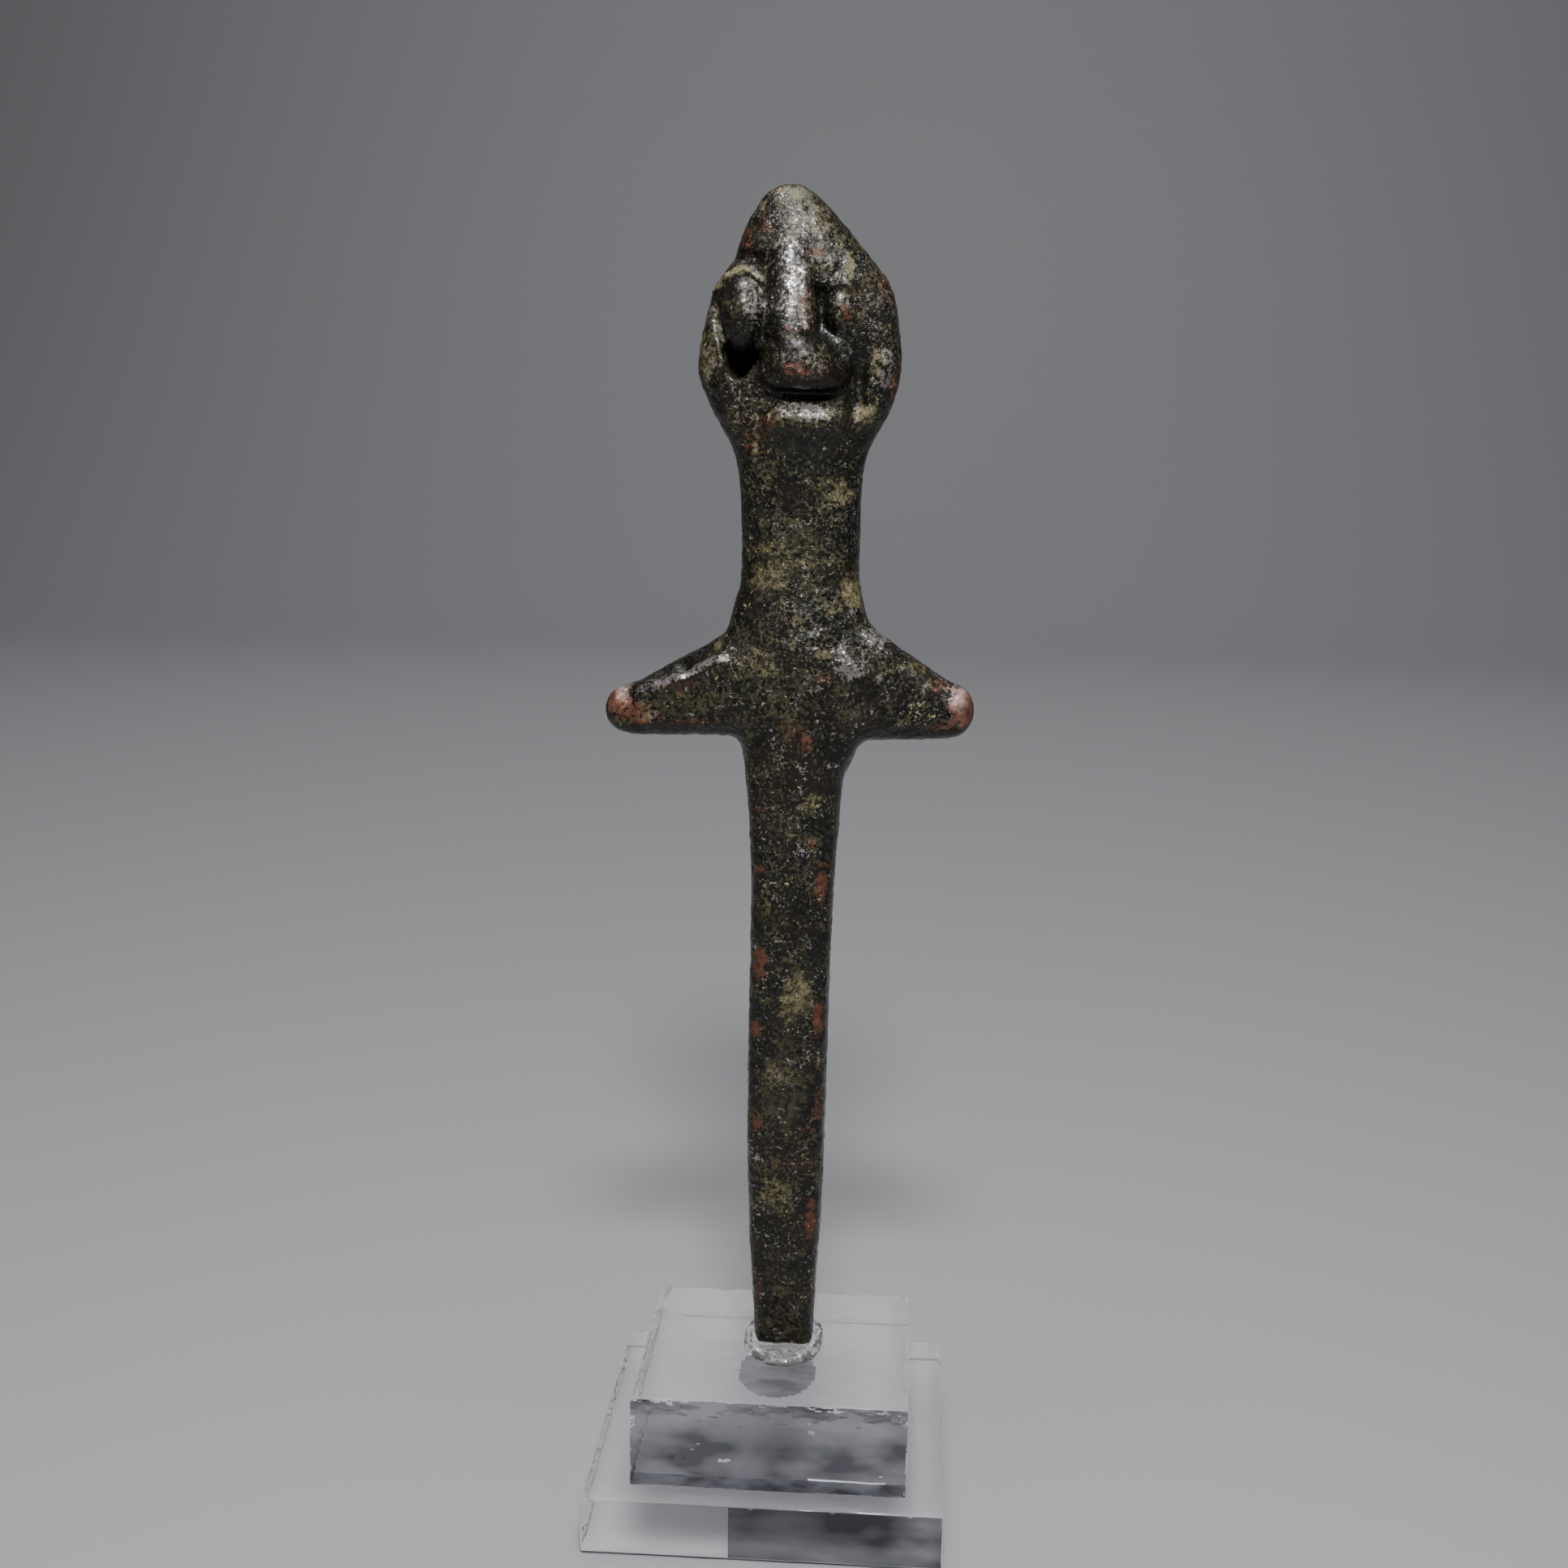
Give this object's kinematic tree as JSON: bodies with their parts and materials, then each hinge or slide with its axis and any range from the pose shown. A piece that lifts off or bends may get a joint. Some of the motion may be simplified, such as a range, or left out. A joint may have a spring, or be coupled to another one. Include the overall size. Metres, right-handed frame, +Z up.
{
  "type": "bronze votive figure on a clear stand",
  "caption": "Slender cast bronze votive figure with a beaked, hooded head, stub arms and a peg body, held upright in a gel collar on a stepped clear block stand.",
  "frame": {"origin": "centre of the lower block's underside", "axes": "+Z up along the figure, -Y is the way the face looks, +X to the right of a viewer who faces it"},
  "size_m": [0.0408, 0.04, 0.1472],
  "materials": {
    "bronze": "dark brown-green patina, granular and pitted, with ochre crust and copper-red wear",
    "acrylic": "clear, polished faces and sawn edges",
    "gel": "clear mounting gel"
  },
  "bodies": {
    "root": {"bronze_figure": "bronze", "gel_collar": "gel", "upper_block": "acrylic", "lower_block": "acrylic"}
  },
  "joints": []
}
